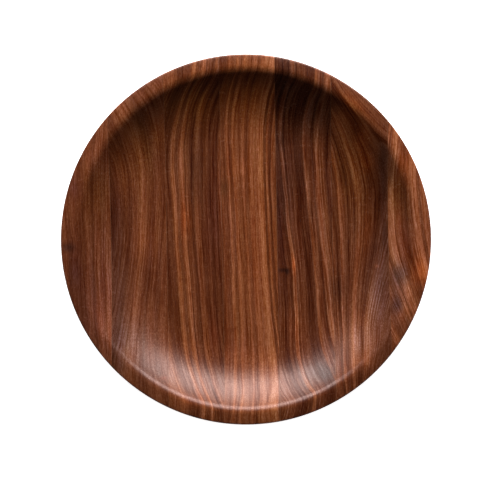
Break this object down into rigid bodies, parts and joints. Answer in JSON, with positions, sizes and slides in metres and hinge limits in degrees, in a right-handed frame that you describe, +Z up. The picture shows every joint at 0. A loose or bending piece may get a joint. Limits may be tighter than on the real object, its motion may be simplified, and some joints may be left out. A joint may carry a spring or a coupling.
{
  "type": "offering plate",
  "caption": "Round shallow wooden dish with a flat-floored well, a coved wall, a crowned rim and a foot ring, turned from glued staves.",
  "frame": {"origin": "centre of the foot ring's resting face, under the middle of the dish", "axes": "+Z up along the dish's turning axis; +Y along the staves and their grain; +X across the staves"},
  "size_m": [0.305, 0.305, 0.036],
  "materials": {
    "walnut": "oiled satin",
    "wood_glue": "matte"
  },
  "bodies": {
    "root": {"stave_1": "walnut", "stave_2": "walnut", "stave_3": "walnut", "stave_4": "walnut", "stave_5": "walnut", "stave_6": "walnut", "stave_7": "walnut", "glue_line_1": "wood_glue", "glue_line_2": "wood_glue", "glue_line_3": "wood_glue", "glue_line_4": "wood_glue", "glue_line_5": "wood_glue", "glue_line_6": "wood_glue"}
  },
  "joints": []
}
